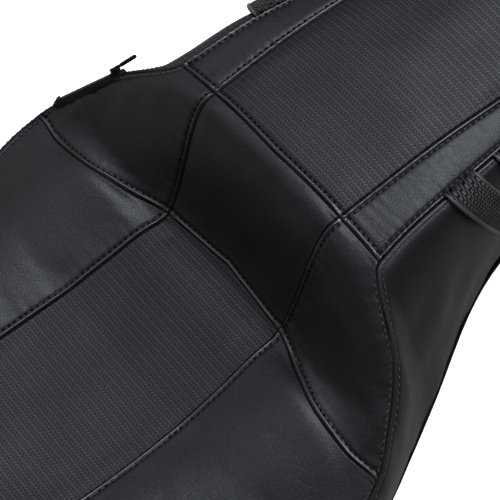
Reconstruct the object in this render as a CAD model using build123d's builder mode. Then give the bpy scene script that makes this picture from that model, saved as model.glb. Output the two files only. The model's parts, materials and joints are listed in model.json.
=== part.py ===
"""Two-up touring motorcycle seat: pan, foam, sewn cover, side grab straps, mounting steel and a short access zip.

Millimetres. +X is forward, +Y the rider's left, +Z up. The origin lies under the middle of the
bounding box, on the plane of the six rubber bumpers.
"""
import math
import os

from build123d import *

# ---------------------------------------------------------------- driving dimensions
NOSE_X = 400                 # front end of the cover
TAIL_X = -370                # rear end of the cover
COVER_T = 2.0                # vinyl with its scrim backing
PLAY = 0.3                   # clearance between neighbouring pieces
PAN_T = 3.0                  # moulded pan wall
FLANGE = 18                  # height of the pan's floor above its rim
RIB_DEPTH = 8
TRIM_DROP, TRIM_WIDTH = 3.0, 6.5

# Plan and side views of the seat, as (x, value) points with smooth curves between them.
SIDE_SEAM_Y = [(-370, 60), (-356, 76), (-325, 88), (-280, 93), (-200, 97), (-100, 106), (-27, 113),
               (2, 163), (24, 185), (52, 205), (80, 212), (110, 211), (160, 200), (220, 174),
               (300, 126), (360, 88), (388, 62), (400, 42)]
SIDE_SEAM_Z = [(-370, 86), (-356, 120), (-325, 150), (-280, 172), (-200, 186), (-100, 187), (-27, 177),
               (2, 139), (24, 115), (52, 90), (80, 72), (120, 58), (200, 46), (300, 50), (370, 50), (400, 40)]
RIM_Y = [(-370, 62), (-356, 80), (-325, 94), (-280, 101), (-200, 107), (-147, 113), (-93, 134), (-41, 163),
         (11, 189), (37, 201), (80, 214), (110, 214), (160, 204), (220, 178), (300, 130), (360, 92),
         (388, 65), (400, 44)]
RIM_Z = [(-370, 14), (-320, 31), (-260, 50), (-200, 60), (-160, 62), (-65, 54), (0, 41), (60, 24), (150, 9),
         (200, 7), (320, 8), (400, 14)]
RIDER_TOP_Z = [(-60, 84), (45, 82), (90, 72), (130, 64), (200, 60), (270, 65), (330, 68), (375, 62), (400, 48)]
PILLION_TOP_Z = [(-370, 100), (-356, 138), (-325, 170), (-280, 190), (-220, 202), (-140, 202), (-60, 193),
                 (-27, 190), (45, 184)]
SKIRT_BULGE = [(-370, 4), (-330, 9), (-200, 12), (-100, 13), (-27, 13), (10, 8), (52, 6), (250, 5), (400, 2)]
BOLSTER_RISE = [(-27, 0), (30, 8), (60, 17), (120, 15), (200, 10), (300, 4), (380, 0)]

# The riser between the two seats: its foot curves forward towards the sides.
RISER_FOOT_X, RISER_WRAP, RISER_TOP_X = 37, 22, -27

# Seams in plan.
LOWER_SEAM = [(0, 24), (66, 30), (105, 43), (143, 54), (175, 56), (202, 53), (230, 53)]   # (y, x)
UPPER_SEAM = [(0, -25), (70, -27), (150, -27)]                                         # (y, x)
PILLION_INSERT_Y = [(-370, 52), (-330, 64), (-250, 70), (-27, 70)]
RIDER_INSERT_Y = [(30, 66), (100, 70), (180, 72), (260, 72), (330, 60), (390, 44)]
NOSE_SEAM_X, TAIL_SEAM_X = 352, -338

# Side straps: 25 mm webbing that leaves the side seam and slants down and rearward.
STRAP_W, STRAP_T = 25, 3.0
STRAP_FRONT_X, STRAP_PITCH = -106, 48
STRAP_SLANT = 33             # degrees from upright
STRAP_STANDOFF = 9
STRAP_LENGTH = 138

# Mounting steel and bumpers.
STEEL_T = 3.0
TAB_HOLE_R = 3.5
BUMPER_R = 15
BUMPERS = [(92, 110), (290, 62), (-340, 52)]     # x and y of each left-hand one

# Access zip in the right-hand side seam, from its lower stop up to its slider.
ZIP_LOW_X, ZIP_HIGH_X = 36, 0


# ---------------------------------------------------------------- shape of the seat
def track(x, points):
    """Smooth curve through (x, value) points, with no overshoot between them."""
    xs = [p[0] for p in points]
    vs = [p[1] for p in points]
    if x <= xs[0]:
        return vs[0]
    if x >= xs[-1]:
        return vs[-1]
    rise = [(vs[i + 1] - vs[i]) / (xs[i + 1] - xs[i]) for i in range(len(xs) - 1)]

    def slope(i):
        if i == 0:
            return rise[0]
        if i == len(xs) - 1:
            return rise[-1]
        before, after = rise[i - 1], rise[i]
        return 0.0 if before * after <= 0 else 2 * before * after / (before + after)

    i = max(k for k in range(len(xs) - 1) if xs[k] <= x)
    span = xs[i + 1] - xs[i]
    t = (x - xs[i]) / span
    return (
        (2 * t**3 - 3 * t**2 + 1) * vs[i]
        + (t**3 - 2 * t**2 + t) * slope(i) * span
        + (3 * t**2 - 2 * t**3) * vs[i + 1]
        + (t**3 - t**2) * slope(i + 1) * span
    )


def ease(t):
    """Smooth step from 0 to 1."""
    t = min(max(t, 0), 1)
    return t**3 * (t * (6 * t - 15) + 10)


def riser_blend(x, y):
    """0 on the rider's seat, 1 on the pillion, smooth across the riser."""
    foot = RISER_FOOT_X + RISER_WRAP * min(abs(y) / 150, 1.2) ** 2
    return ease((foot - x) / (foot - RISER_TOP_X))


def crown_line(x, y):
    rider, pillion = track(x, RIDER_TOP_Z), track(x, PILLION_TOP_Z)
    return rider + (pillion - rider) * riser_blend(x, y)


def top_z(x, y):
    """Height of the cover inside the side seams."""
    seam_y, seam_z = track(x, SIDE_SEAM_Y), track(x, SIDE_SEAM_Z)
    u = min(abs(y) / seam_y, 1)
    sharpness = 2 + 3 * ease((x + 40) / 90)
    bump = math.sin(math.pi * min(max((u - 0.25) / 0.75, 0), 1)) ** 2
    fall = (crown_line(x, seam_y) - seam_z) * u**sharpness
    return crown_line(x, y) - fall + track(x, BOLSTER_RISE) * bump


def skirt_point(x, v):
    """Point of the skirt from the side seam (v = 0) to the rim (v = 1), as (y, z)."""
    seam_y, seam_z = track(x, SIDE_SEAM_Y), track(x, SIDE_SEAM_Z)
    rim_y, rim_z = track(x, RIM_Y), track(x, RIM_Z)
    bulge = track(x, SKIRT_BULGE) * 2.6 * math.sqrt(v) * (1 - v)
    return seam_y + (rim_y - seam_y) * v + bulge, seam_z + (rim_z - seam_z) * v


def skirt_y(x, z):
    """Half-width of the skirt at a height."""
    seam_z, rim_z = track(x, SIDE_SEAM_Z), track(x, RIM_Z)
    return skirt_point(x, min(max((seam_z - z) / (seam_z - rim_z), 0), 1))[0]


def inset_top_z(x, y, inset):
    """Cover surface moved inward by inset, measured square to the surface."""
    step = 1.0
    along = (top_z(x + step, y) - top_z(x - step, y)) / (2 * step)
    across = (top_z(x, y + step) - top_z(x, y - step)) / (2 * step)
    return top_z(x, y) - inset * min(math.sqrt(1 + along**2 + across**2), 2.6)


TOP_POINTS, SKIRT_POINTS = 10, 5


def even_spline(points):
    """Spline with its points evenly spread over its length, so that neighbouring sections match."""
    last = len(points) - 1
    return Edge.make_spline([Vector(*p) for p in points], parameters=[i / last for i in range(last + 1)])


def section_plane(x):
    return Plane(origin=(x, 0, 0), x_dir=(0, 1, 0), z_dir=(1, 0, 0))


def seat_section(x, inset, bottom_z):
    """Outline of the seat at x, moved inward by inset and closed at bottom_z: four edges."""
    seam_y, seam_z = track(x, SIDE_SEAM_Y), track(x, SIDE_SEAM_Z)
    shoulder = seam_y - inset
    top = [(y, inset_top_z(x, y, inset)) for y in
           (shoulder * (2 * i / TOP_POINTS - 1) for i in range(TOP_POINTS + 1))]
    side = [top[-1]]
    for i in range(1, SKIRT_POINTS):
        z = top[-1][1] + (bottom_z - top[-1][1]) * i / (SKIRT_POINTS - 1)
        side.append((skirt_y(x, z) - inset, z))
    left_foot, right_foot = side[-1], (-side[-1][0], side[-1][1])
    with BuildLine() as outline:
        add(even_spline(top))
        add(even_spline(side))
        Line(left_foot, right_foot)
        add(even_spline([(-y, z) for y, z in reversed(side)]))
    return outline


STATIONS = [-356, -325, -280, -220, -150, -90, -55, -38, -27, -15, -2, 12, 24, 38, 52, 66, 84, 110,
            150, 200, 260, 310, 350, 378]


def seat_body(inset, bottom):
    """Solid of the whole seat moved inward by inset; bottom(x) is its underside."""
    ends = [TAIL_X + inset] + STATIONS + [NOSE_X - inset]
    with BuildPart() as body:
        for x in ends:
            outline = seat_section(x, inset, bottom(x))
            with BuildSketch(section_plane(x)):
                add(outline.line)
                make_face()
        loft()
    return body.part


def rim_body(half_width, low, high, end_inset):
    """Solid band that follows the rim: half_width(x) wide, from low(x) to high(x)."""
    with BuildPart() as band:
        for x in [TAIL_X + end_inset] + STATIONS + [NOSE_X - end_inset]:
            low_y, low_z, high_z = half_width(x, low(x)), low(x), high(x)
            high_y = half_width(x, high_z)
            with BuildSketch(section_plane(x)):
                with BuildLine():
                    Polyline((-low_y, low_z), (low_y, low_z), (high_y, high_z), (-high_y, high_z), close=True)
                make_face()
        loft()
    return band.part


def rim_z(x):
    return track(x, RIM_Z)


def floor_z(x):
    """Upper face of the pan's floor."""
    return rim_z(x) + FLANGE


def underside_z(x):
    """Lower face of the pan's floor."""
    return floor_z(x) - PAN_T


def finish(part, name):
    """Label a piece and write it."""
    part.label = name
    export_step(part, f"parts/{name}.step")
    print(f"{name:22s} solids {len(part.solids()):3d}  volume {part.volume / 1000:9.2f} cm3")


def plan_prism(outline):
    """Upright prism over a closed plan outline of (x, y) splines, taller than the seat."""
    with BuildPart() as prism:
        with BuildSketch(Plane.XY.offset(-20)):
            with BuildLine():
                for edge in outline:
                    if len(edge) == 2:
                        Line(*edge)
                    else:
                        Spline(*edge)
            make_face()
        extrude(amount=300)
    return prism.part


def plan_curve(points, first, last, count):
    """Points (x, value) along a track."""
    return [(first + (last - first) * i / count, track(first + (last - first) * i / count, points))
            for i in range(count + 1)]


os.makedirs("parts", exist_ok=True)

# ---------------------------------------------------------------- solids that the pieces are cut from
outer = seat_body(0, rim_z)
inner = seat_body(COVER_T, lambda x: rim_z(x) - 6)
cover = outer - inner


def pan_edge(inset):
    return lambda x, z: skirt_y(x, max(z, rim_z(x))) - inset


def wide(x, z):
    """Half-width beyond the seat everywhere."""
    return 260


pan_outer = rim_body(pan_edge(COVER_T + 1), rim_z, floor_z, COVER_T + 1)
pan_hollow = rim_body(
    pan_edge(COVER_T + 1 + PAN_T), lambda x: rim_z(x) - 8, underside_z, COVER_T + 1 + PAN_T
)
rib_layer = rim_body(wide, lambda x: underside_z(x) - RIB_DEPTH, lambda x: underside_z(x) + 1, -30)
above_underside = rim_body(wide, lambda x: underside_z(x) - 0.1, lambda x: underside_z(x) + 60, -30)
below_foam = rim_body(wide, lambda x: rim_z(x) - 40, lambda x: floor_z(x) + PLAY, -30)

# ---------------------------------------------------------------- cover panels
seam_half = plan_curve(SIDE_SEAM_Y, TAIL_X, NOSE_X, 60)
top_outline = [
    seam_half,
    [(NOSE_X, seam_half[-1][1]), (NOSE_X, -seam_half[-1][1])],
    [(x, -y) for x, y in reversed(seam_half)],
    [(TAIL_X, -seam_half[0][1]), (TAIL_X, seam_half[0][1])],
]
inside_seams = plan_prism(top_outline)
SIDE = 260


def cross_seam(points):
    """Plan points of a transverse seam from right to left."""
    return [(track(abs(y), points), y) for y in range(-SIDE, SIDE + 1, 20)]


def ahead_of(points):
    seam = cross_seam(points)
    return plan_prism([seam, [seam[-1], (500, SIDE)], [(500, SIDE), (500, -SIDE)], [(500, -SIDE), seam[0]]])


def between_insert_seams(points, first, last):
    side = plan_curve(points, first, last, 24)
    other = [(x, -y) for x, y in reversed(side)]
    return plan_prism([side, [side[-1], other[0]], other, [other[-1], side[0]]])


with BuildPart() as left_half:
    with Locations((0, 200, 100)):
        Box(1200, 400, 400)
with BuildPart() as nose_zone:
    with Locations((NOSE_SEAM_X + 100, 0, 100)):
        Box(200, 600, 400)
with BuildPart() as tail_zone:
    with Locations((TAIL_SEAM_X - 100, 0, 100)):
        Box(200, 600, 400)

top_cover = cover & inside_seams
side_cover = cover - inside_seams
rider_zone = ahead_of(LOWER_SEAM)
front_zone = ahead_of(UPPER_SEAM)
rider_cover = top_cover & rider_zone
riser_cover = (top_cover & front_zone) - rider_zone
pillion_cover = top_cover - front_zone

rider_strip = between_insert_seams(RIDER_INSERT_Y, 0, NOSE_X)
pillion_strip = between_insert_seams(PILLION_INSERT_Y, TAIL_X, 80)
riser_strip = between_insert_seams([(-60, 70), (-27, 70), (30, 66), (90, 66)], -60, 90)

nose_panel = rider_cover & nose_zone.part
rider_cover = rider_cover - nose_zone.part
tail_panel = pillion_cover & tail_zone.part
pillion_cover = pillion_cover - tail_zone.part


def centre_and_sides(panel, strip):
    sides = panel - strip
    return panel & strip, sides & left_half.part, sides - left_half.part


rider_insert, rider_left, rider_right = centre_and_sides(rider_cover, rider_strip)
riser_centre, riser_left, riser_right = centre_and_sides(riser_cover, riser_strip)
pillion_insert, pillion_left, pillion_right = centre_and_sides(pillion_cover, pillion_strip)
skirt_left = side_cover & left_half.part
skirt_right = side_cover - left_half.part

for piece, name in [
    (rider_insert, "rider_insert"), (rider_left, "rider_panel_left"), (rider_right, "rider_panel_right"),
    (riser_centre, "riser_centre"), (riser_left, "riser_left"), (riser_right, "riser_right"),
    (pillion_insert, "pillion_insert"), (pillion_left, "pillion_panel_left"),
    (pillion_right, "pillion_panel_right"), (nose_panel, "nose_panel"), (tail_panel, "tail_panel"),
]:
    finish(piece, name)

# ---------------------------------------------------------------- screws that hold the straps
def band(points, inner, outer_face):
    """Closed outline between two offsets of an open path of (s, h) points."""
    def shifted(offset):
        result = []
        for i, (s, h) in enumerate(points):
            before = points[max(i - 1, 0)]
            after = points[min(i + 1, len(points) - 1)]
            length = math.hypot(after[0] - before[0], after[1] - before[1])
            result.append((s - (after[1] - before[1]) / length * offset,
                           h + (after[0] - before[0]) / length * offset))
        return result
    return shifted(inner) + shifted(outer_face)[::-1]


slant = math.radians(STRAP_SLANT)
strap_down = Vector(-math.sin(slant), 0, -math.cos(slant))
strap_across = Vector(math.cos(slant), 0, -math.sin(slant))


def strap_plane(x):
    """Plane of a left-hand strap's path: x down the strap, y outward, z across the strap."""
    return Plane(origin=(x, 0, track(x, SIDE_SEAM_Z)), x_dir=strap_down, z_dir=strap_across)


def strap_skirt(x, s):
    """Half-width of the skirt s mm down the strap."""
    return skirt_y(x + strap_down.X * s, track(x, SIDE_SEAM_Z) + strap_down.Z * s)


def strap_path(x):
    """Inner face of the strap: away from the skirt in the middle, on it at both ends."""
    stand_off = [(-2, -0.5), (8, 4), (24, STRAP_STANDOFF), (60, STRAP_STANDOFF), (98, STRAP_STANDOFF - 2),
                 (116, 1.5), (124, 0.6), (STRAP_LENGTH, 0.6)]
    return [(s, strap_skirt(x, max(s, 0)) + gap) for s, gap in stand_off]


PLATE_LENGTH, PLATE_T = 14, 2.0
SCREW_R, SCREW_HEAD_R, SCREW_HEAD_H, SCREW_REACH, SCREW_PITCH = 2.0, 4.0, 2.2, 12, 13


def left_straps():
    straps, plates, screws = [], [], []
    for x in (STRAP_FRONT_X, STRAP_FRONT_X - STRAP_PITCH):
        path = strap_path(x)
        with BuildPart() as strap:
            with BuildSketch(strap_plane(x)):
                with BuildLine():
                    Polyline(*band(path, 0, STRAP_T), close=True)
                make_face()
            extrude(amount=STRAP_W / 2, both=True)
        end, foot = path[-2:]
        share = PLATE_LENGTH / (foot[0] - end[0])
        plate_top = (foot[0] - PLATE_LENGTH, foot[1] + (end[1] - foot[1]) * share)
        with BuildPart() as plate:
            with BuildSketch(strap_plane(x)):
                with BuildLine():
                    Polyline(*band([plate_top, foot], STRAP_T, STRAP_T + PLATE_T), close=True)
                make_face()
            extrude(amount=STRAP_W / 2, both=True)
            fillet(plate.edges().filter_by(Axis.Y, tolerance=15), 3)
        face = plate_top[1] + STRAP_T + PLATE_T
        with BuildPart() as pair:
            for side in (-1, 1):
                centre = strap_plane(x) * Location((foot[0] - PLATE_LENGTH / 2, face, side * SCREW_PITCH / 2))
                with Locations(Plane(origin=centre.position, z_dir=(0, 1, 0))):
                    Cylinder(SCREW_R, SCREW_REACH + 1, align=(Align.CENTER, Align.CENTER, Align.MAX))
                    Cylinder(SCREW_HEAD_R, SCREW_HEAD_H, align=(Align.CENTER, Align.CENTER, Align.MIN))
        straps.append(strap.part - outer - pair.part)
        plates.append(plate.part - pair.part)
        screws.append(pair.part)
    return straps, plates, screws


def both_sides(parts):
    """Left-hand solids and their mirror images, as one group."""
    solids = [solid for part in parts for solid in part.solids()]
    return Part(children=[]) + solids + [solid.mirror(Plane.XZ) for solid in solids]


straps, plates, screws = left_straps()
strap_screws = both_sides(screws)
finish(straps[0], "side_strap_front_left")
finish(straps[1], "side_strap_rear_left")
finish(straps[0].mirror(Plane.XZ), "side_strap_front_right")
finish(straps[1].mirror(Plane.XZ), "side_strap_rear_right")
finish(both_sides(plates), "strap_plates")
finish(strap_screws, "strap_screws")
finish(skirt_left - strap_screws, "skirt_left")
finish(skirt_right - strap_screws, "skirt_right")

# ---------------------------------------------------------------- pan with its ribs
RIB_T = 4
LONG_RIB_Y = 44
CROSS_RIBS = [-255, -180, -105, -30, 45, 150, 215]
with BuildPart() as rib_grid:
    with Locations((20, LONG_RIB_Y, 60), (20, -LONG_RIB_Y, 60)):
        Box(640, RIB_T, 200)
    with Locations(*[(x, 0, 60) for x in CROSS_RIBS]):
        Box(RIB_T, 500, 200)
ribs = rib_grid.part & rib_layer & pan_hollow
pan_shell = (pan_outer - pan_hollow) + ribs

# ---------------------------------------------------------------- rubber bumpers and their screws
BUMPER_RECESS_R, BUMPER_RECESS_H = 6.0, 7.0
BUMPER_SCREW_R, BUMPER_HEAD_R, BUMPER_HEAD_H = 2.5, 5.0, 3.0
bumper_spots = [(x, side * y) for x, y in BUMPERS for side in (1, -1)]
with BuildPart() as bumper_cones:
    with Locations(*[(x, y, 0) for x, y in bumper_spots]):
        Cone(BUMPER_R, BUMPER_R * 0.8, 60, align=(Align.CENTER, Align.CENTER, Align.MIN))
    with Locations(*[(x, y, 0) for x, y in bumper_spots]):
        Cylinder(BUMPER_RECESS_R, BUMPER_RECESS_H, align=(Align.CENTER, Align.CENTER, Align.MIN), mode=Mode.SUBTRACT)
with BuildPart() as bumper_screws:
    for x, y in bumper_spots:
        with Locations((x, y, BUMPER_RECESS_H)):
            Cylinder(BUMPER_SCREW_R, floor_z(x) - BUMPER_RECESS_H - 0.5,
                     align=(Align.CENTER, Align.CENTER, Align.MIN))
            Cylinder(BUMPER_HEAD_R, BUMPER_HEAD_H, align=(Align.CENTER, Align.CENTER, Align.MAX))
finish(bumper_cones.part - above_underside - bumper_screws.part, "pan_bumpers")
finish(bumper_screws.part, "bumper_screws")

# ---------------------------------------------------------------- steel tongue, tail tab and their rivets
TONGUE_W, TAB_W = 56, 44
RIVET_R, RIVET_HEAD_R, RIVET_HEAD_H = 2.4, 4.5, 1.8
side_view = Plane(origin=(0, 0, 0), x_dir=(1, 0, 0), z_dir=(0, -1, 0))


def bent_plate(points, width):
    """Plate of STEEL_T, bent along (x, z) points, as wide as given."""
    with BuildPart() as plate:
        with BuildSketch(side_view):
            with BuildLine():
                Polyline(*band(points, -STEEL_T / 2, STEEL_T / 2), close=True)
            make_face()
        extrude(amount=width / 2, both=True)
    return plate.part


def rivets(spots, plate_z, tilt):
    """Rivets through a plate and the pan's floor: plate_z(x) is the plate's middle."""
    with BuildPart() as group:
        for x, y in spots:
            axis = Vector(-math.sin(tilt), 0, math.cos(tilt))
            with Locations(Plane(origin=(x, y, plate_z(x)), z_dir=axis)):
                Cylinder(RIVET_R, STEEL_T / 2 + PLAY + PAN_T - 0.5, align=(Align.CENTER, Align.CENTER, Align.MIN))
                Cylinder(RIVET_R, STEEL_T / 2, align=(Align.CENTER, Align.CENTER, Align.MAX))
            with Locations(Plane(origin=Vector(x, y, plate_z(x)) - axis * (STEEL_T / 2), z_dir=axis)):
                Cone(RIVET_HEAD_R * 0.6, RIVET_HEAD_R, RIVET_HEAD_H, align=(Align.CENTER, Align.CENTER, Align.MAX))
    return group.part


def under_floor(x):
    return underside_z(x) - PLAY - STEEL_T / 2


TONGUE_TIP_X, TONGUE_TIP_Z = 390, 8.5
tongue_path = [(256, under_floor(256)), (316, under_floor(316)), (338, TONGUE_TIP_Z), (TONGUE_TIP_X, TONGUE_TIP_Z)]
tongue_rivets = rivets([(268, 18), (268, -18), (304, 18), (304, -18)], under_floor, 0)
with BuildPart() as tongue_slot:
    with Locations((366, 0, TONGUE_TIP_Z)):
        Box(12, 26, 10)
tongue = bent_plate(tongue_path, TONGUE_W) - tongue_slot.part - tongue_rivets
finish(tongue, "front_tongue")
finish(tongue_rivets, "tongue_rivets")

TAB_X, TAB_END_X, TAB_Z = -387, -400, 8.4
TAB_ROOT_X, TAB_BEND_X, TAB_FLAT_X, TAB_RIVET_X = -318, -348, -360, -333
tab_tilt = math.atan2(under_floor(-322) - under_floor(-346), 24)


def tab_middle(x):
    """Middle of the tab's riveted end, which lies along the sloping floor of the pan."""
    return under_floor(-322) + (x + 322) * math.tan(tab_tilt)


tab_path = [(TAB_ROOT_X, tab_middle(TAB_ROOT_X)), (TAB_BEND_X, tab_middle(TAB_BEND_X)),
            (TAB_FLAT_X, TAB_Z), (TAB_END_X, TAB_Z)]
tab_rivets = rivets([(TAB_RIVET_X, 15), (TAB_RIVET_X, -15)], tab_middle, tab_tilt)
with BuildPart() as tab_outline:
    with BuildSketch(Plane.XY.offset(-10)):
        with BuildLine():
            Polyline((-300, TAB_W / 2), (-362, TAB_W / 2), (-380, 14))
            ThreePointArc((-380, 14), (TAB_END_X, 0), (-380, -14))
            Polyline((-380, -14), (-362, -TAB_W / 2), (-300, -TAB_W / 2), (-300, TAB_W / 2))
        make_face()
    extrude(amount=90)
    with Locations((TAB_X, 0, TAB_Z)):
        Cylinder(TAB_HOLE_R, 40, mode=Mode.SUBTRACT)
rear_tab = (bent_plate(tab_path, TAB_W) & tab_outline.part) - tab_rivets
finish(rear_tab, "rear_tab")
finish(tab_rivets, "tab_rivets")

pan = pan_shell - strap_screws - bumper_screws.part - tongue_rivets - tab_rivets - tongue - rear_tab
finish(pan, "seat_pan")

# ---------------------------------------------------------------- edge trim that clamps the cover on the rim
trim_outer = rim_body(pan_edge(-0.8), lambda x: rim_z(x) - PLAY - TRIM_DROP, lambda x: rim_z(x) - PLAY, -0.8)
trim_inner = rim_body(pan_edge(TRIM_WIDTH), lambda x: rim_z(x) - 9, lambda x: rim_z(x) + 2, TRIM_WIDTH)
finish(trim_outer - trim_inner, "edge_trim")

# ---------------------------------------------------------------- foam
FOAM_SPLIT_X = 5
with BuildPart() as front_block:
    with Locations((FOAM_SPLIT_X + 300, 0, 100)):
        Box(600, 600, 400)
foam = inner - below_foam - strap_screws - bumper_screws.part
finish(foam & front_block.part, "rider_foam")
finish(foam - front_block.part, "pillion_foam")

# ---------------------------------------------------------------- access zip in the right-hand side seam
def seam_point(x):
    return Vector(x, -track(x, SIDE_SEAM_Y), track(x, SIDE_SEAM_Z))


zip_low, zip_high = seam_point(ZIP_LOW_X), seam_point(ZIP_HIGH_X)
zip_run = (zip_high - zip_low).normalized()
zip_length = (zip_high - zip_low).length
shoulder = Vector(0.3, -0.6, 0.75)
zip_out = (shoulder - zip_run * shoulder.dot(zip_run)).normalized()
zip_plane = Plane(origin=zip_low, x_dir=zip_run, z_dir=zip_out)      # x up the zip, y across, z outward

TAPE_W, TAPE_TOP = 5.4, 1.6
TOOTH_PITCH, TOOTH_L, TOOTH_W, TOOTH_H = 2.0, 1.4, 3.6, 1.2
SLIDER_L, SLIDER_W, SLIDER_PLATE = 8.0, 6.4, 1.0
PIN_H = TAPE_TOP + TOOTH_H + PLAY + SLIDER_PLATE + 1.4              # height of the pull's pin
PIN_R, EYE_R = 0.6, 0.95
BAIL_L, BAIL_W, BAIL_RISE = 4.6, 1.8, 1.4
PULL_R, PULL_LENGTH, PULL_LIFT = 1.3, 26.5, 5


def zip_box(x0, x1, width, z0, z1):
    """Box on the zip's plane, centred across it."""
    with BuildPart() as block:
        with BuildSketch(zip_plane.offset(z0)):
            with Locations(((x0 + x1) / 2, 0)):
                Rectangle(x1 - x0, width)
        extrude(amount=z1 - z0)
    return block.part


finish(zip_box(-6, zip_length + 6, TAPE_W, -4, TAPE_TOP) - outer, "zip_tape")

tooth_count = int((zip_length - 4) / TOOTH_PITCH)
with BuildPart() as teeth:
    with BuildSketch(zip_plane.offset(TAPE_TOP)):
        for i in range(tooth_count):
            with Locations((4 + i * TOOTH_PITCH, 0)):
                Rectangle(TOOTH_L, TOOTH_W)
    extrude(amount=TOOTH_H)
finish(teeth.part, "zip_teeth")

stops = zip_box(-1, 2, 4.4, TAPE_TOP, TAPE_TOP + 2.4)
finish(stops, "zip_stop")

deck = TAPE_TOP + TOOTH_H + PLAY
slider_x = zip_length - 1
slider_body = zip_box(slider_x - SLIDER_L / 2, slider_x + SLIDER_L / 2, SLIDER_W, TAPE_TOP + PLAY, deck + SLIDER_PLATE)
channel = zip_box(slider_x - SLIDER_L, slider_x + SLIDER_L, TOOTH_W + 2 * PLAY, TAPE_TOP, deck)
bail = zip_box(slider_x - BAIL_L / 2, slider_x + BAIL_L / 2, BAIL_W, deck + SLIDER_PLATE - 0.2, PIN_H + BAIL_RISE)
cross = Plane(origin=zip_plane.from_local_coords((slider_x, 0, PIN_H)), x_dir=zip_run, z_dir=zip_plane.y_dir)
with BuildPart() as eye:
    with BuildSketch(cross):
        Circle(EYE_R)
    extrude(amount=10, both=True)
finish(slider_body - channel + bail - eye.part, "zip_slider")

lift = math.radians(PULL_LIFT)
pull_run = zip_run * math.cos(lift) + zip_out * math.sin(lift)
pull_out = zip_out * math.cos(lift) - zip_run * math.sin(lift)
pull_plane = Plane(origin=cross.origin, x_dir=pull_run, z_dir=pull_out)
ARM_X, ARM_Y, ARM_W = 4.2, 2.0, 1.1
with BuildPart() as pull:
    with BuildSketch(cross):
        Circle(PIN_R)
    extrude(amount=ARM_Y, both=True)
    with BuildSketch(pull_plane.offset(-PIN_R)):
        with Locations((ARM_X / 2 - PIN_R / 2, ARM_Y), (ARM_X / 2 - PIN_R / 2, -ARM_Y)):
            Rectangle(ARM_X + PIN_R, ARM_W)
        with Locations((ARM_X, 0)):
            Rectangle(1.6, 2 * ARM_Y + ARM_W)
    extrude(amount=2 * PIN_R)
    with BuildSketch(Plane(origin=pull_plane.from_local_coords((ARM_X, 0, 0)), z_dir=pull_run)):
        Circle(PULL_R)
    extrude(amount=PULL_LENGTH - ARM_X - PULL_R)
    with Locations(pull_plane.from_local_coords((PULL_LENGTH - PULL_R, 0, 0))):
        Sphere(PULL_R)
finish(pull.part, "zip_pull")
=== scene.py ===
"""Touring motorcycle seat: sewn cover, straps, pan and mounting steel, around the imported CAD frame."""
import json
import math

import bpy
import numpy as np
from mathutils import Matrix, Vector
from mathutils.bvhtree import BVHTree
from mathutils.kdtree import KDTree


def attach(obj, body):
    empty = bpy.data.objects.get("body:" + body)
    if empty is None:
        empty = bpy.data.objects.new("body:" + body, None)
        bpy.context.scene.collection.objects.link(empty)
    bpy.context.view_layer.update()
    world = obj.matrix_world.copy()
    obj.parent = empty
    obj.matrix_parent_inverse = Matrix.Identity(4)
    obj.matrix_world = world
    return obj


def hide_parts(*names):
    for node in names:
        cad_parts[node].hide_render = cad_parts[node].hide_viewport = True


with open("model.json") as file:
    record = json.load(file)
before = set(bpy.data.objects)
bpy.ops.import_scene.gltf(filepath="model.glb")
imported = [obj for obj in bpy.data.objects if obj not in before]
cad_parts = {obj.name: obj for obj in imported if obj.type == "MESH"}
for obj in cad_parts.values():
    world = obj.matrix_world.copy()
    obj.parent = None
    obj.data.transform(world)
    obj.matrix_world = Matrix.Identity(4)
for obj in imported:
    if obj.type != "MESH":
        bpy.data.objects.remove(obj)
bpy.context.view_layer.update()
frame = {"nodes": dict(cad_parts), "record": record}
MM = 0.001
rng = np.random.default_rng(7)

# ---------------- camera
AZIMUTH, ELEVATION, ROLL = math.radians(56.4), math.radians(56.95), math.radians(-5.48)
CAMERA_PLACE, CAMERA_LENS, CAMERA_SENSOR = (0.4191, 0.6271, 1.2458), 134.0, 36.0
back = Vector((math.cos(AZIMUTH) * math.cos(ELEVATION), math.sin(AZIMUTH) * math.cos(ELEVATION),
               math.sin(ELEVATION)))
level = Vector((-math.sin(AZIMUTH), math.cos(AZIMUTH), 0))
upright = back.cross(level)
right = level * math.cos(ROLL) + upright * math.sin(ROLL)
up = upright * math.cos(ROLL) - level * math.sin(ROLL)
camera = bpy.data.objects.new("camera", bpy.data.cameras.new("camera"))
camera.data.lens, camera.data.sensor_width = CAMERA_LENS, CAMERA_SENSOR
camera.data.clip_start, camera.data.clip_end = 0.05, 60
camera.matrix_world = Matrix.Translation(CAMERA_PLACE) @ Matrix((right, up, back)).transposed().to_4x4()
bpy.context.scene.collection.objects.link(camera)
bpy.context.scene.camera = camera

# ---------------- shape of the seat, in millimetres
NOSE_X, TAIL_X = 400, -370
FLANGE = 18                   # height of the pan's wall above the rim
BULGE_SCALE = 2.6             # brings the peak of sqrt(v) * (1 - v) to 1
SIDE_SEAM_Y = [(-370, 60), (-356, 76), (-325, 88), (-280, 93), (-200, 97), (-100, 106), (-27, 113),
               (2, 163), (24, 185), (52, 205), (80, 212), (110, 211), (160, 200), (220, 174),
               (300, 126), (360, 88), (388, 62), (400, 42)]
SIDE_SEAM_Z = [(-370, 86), (-356, 120), (-325, 150), (-280, 172), (-200, 186), (-100, 187), (-27, 177),
               (2, 139), (24, 115), (52, 90), (80, 72), (120, 58), (200, 46), (300, 50), (370, 50), (400, 40)]
RIM_Y = [(-370, 62), (-356, 80), (-325, 94), (-280, 101), (-200, 107), (-147, 113), (-93, 134), (-41, 163),
         (11, 189), (37, 201), (80, 214), (110, 214), (160, 204), (220, 178), (300, 130), (360, 92),
         (388, 65), (400, 44)]
RIM_Z = [(-370, 14), (-320, 31), (-260, 50), (-200, 60), (-160, 62), (-65, 54), (0, 41), (60, 24), (150, 9),
         (200, 7), (320, 8), (400, 14)]
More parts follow.
